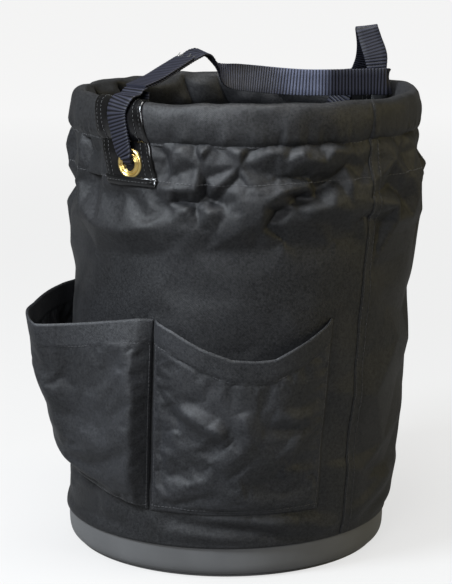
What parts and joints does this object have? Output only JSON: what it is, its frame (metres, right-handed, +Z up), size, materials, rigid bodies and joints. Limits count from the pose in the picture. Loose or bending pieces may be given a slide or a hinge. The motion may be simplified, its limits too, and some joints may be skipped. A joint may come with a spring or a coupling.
{
  "type": "tool bucket organizer",
  "caption": "Round canvas tool bucket with a moulded base pan, two outside patch pockets, a hooped folded rim and a webbing handle looped through brass grommets.",
  "frame": {"origin": "centre of the base pan's underside", "axes": "+Z up out of the mouth, the front pocket faces -Y, the wall leans slightly towards +X"},
  "size_m": [0.366, 0.3387, 0.4837],
  "materials": {
    "canvas": "matte woven",
    "lining": "matte woven",
    "webbing": "ribbed nylon with a slight sheen",
    "pan_plastic": "satin moulded",
    "board_plastic": "matte",
    "hoop_plastic": "natural, unpainted",
    "vinyl": "glossy coated",
    "brass": "polished"
  },
  "bodies": {
    "base": {"base_pan": "pan_plastic", "floor_board": "board_plastic", "wall_lower_front": "canvas", "wall_lower_rear": "canvas", "front_pocket": "canvas", "side_pocket": "canvas"},
    "rim": {"wall_upper_front": "canvas", "wall_upper_rear": "canvas", "rim_sleeve_front": "canvas", "rim_sleeve_rear": "canvas", "rim_facing": "lining", "rim_hoop": "hoop_plastic", "hoop_joiner": "pan_plastic", "left_patch": "vinyl", "right_patch": "vinyl", "left_grommet": "brass", "right_grommet": "brass", "left_washer": "brass", "right_washer": "brass", "left_strap_loop": "webbing", "right_strap_loop": "webbing"},
    "handle": {"handle_strap": "webbing"}
  },
  "joints": [
    {"name": "rim_collapse", "type": "slide", "parent": "base", "child": "rim", "axis": [-0.0489, 0, -0.9988], "range_m": [0, 0.1]},
    {"name": "handle_swing", "type": "hinge", "parent": "rim", "child": "handle", "pos_m": [0.0195, 0, 0.438], "axis": [0.682, 0.7314, 0], "range_deg": [-75, 45]}
  ]
}
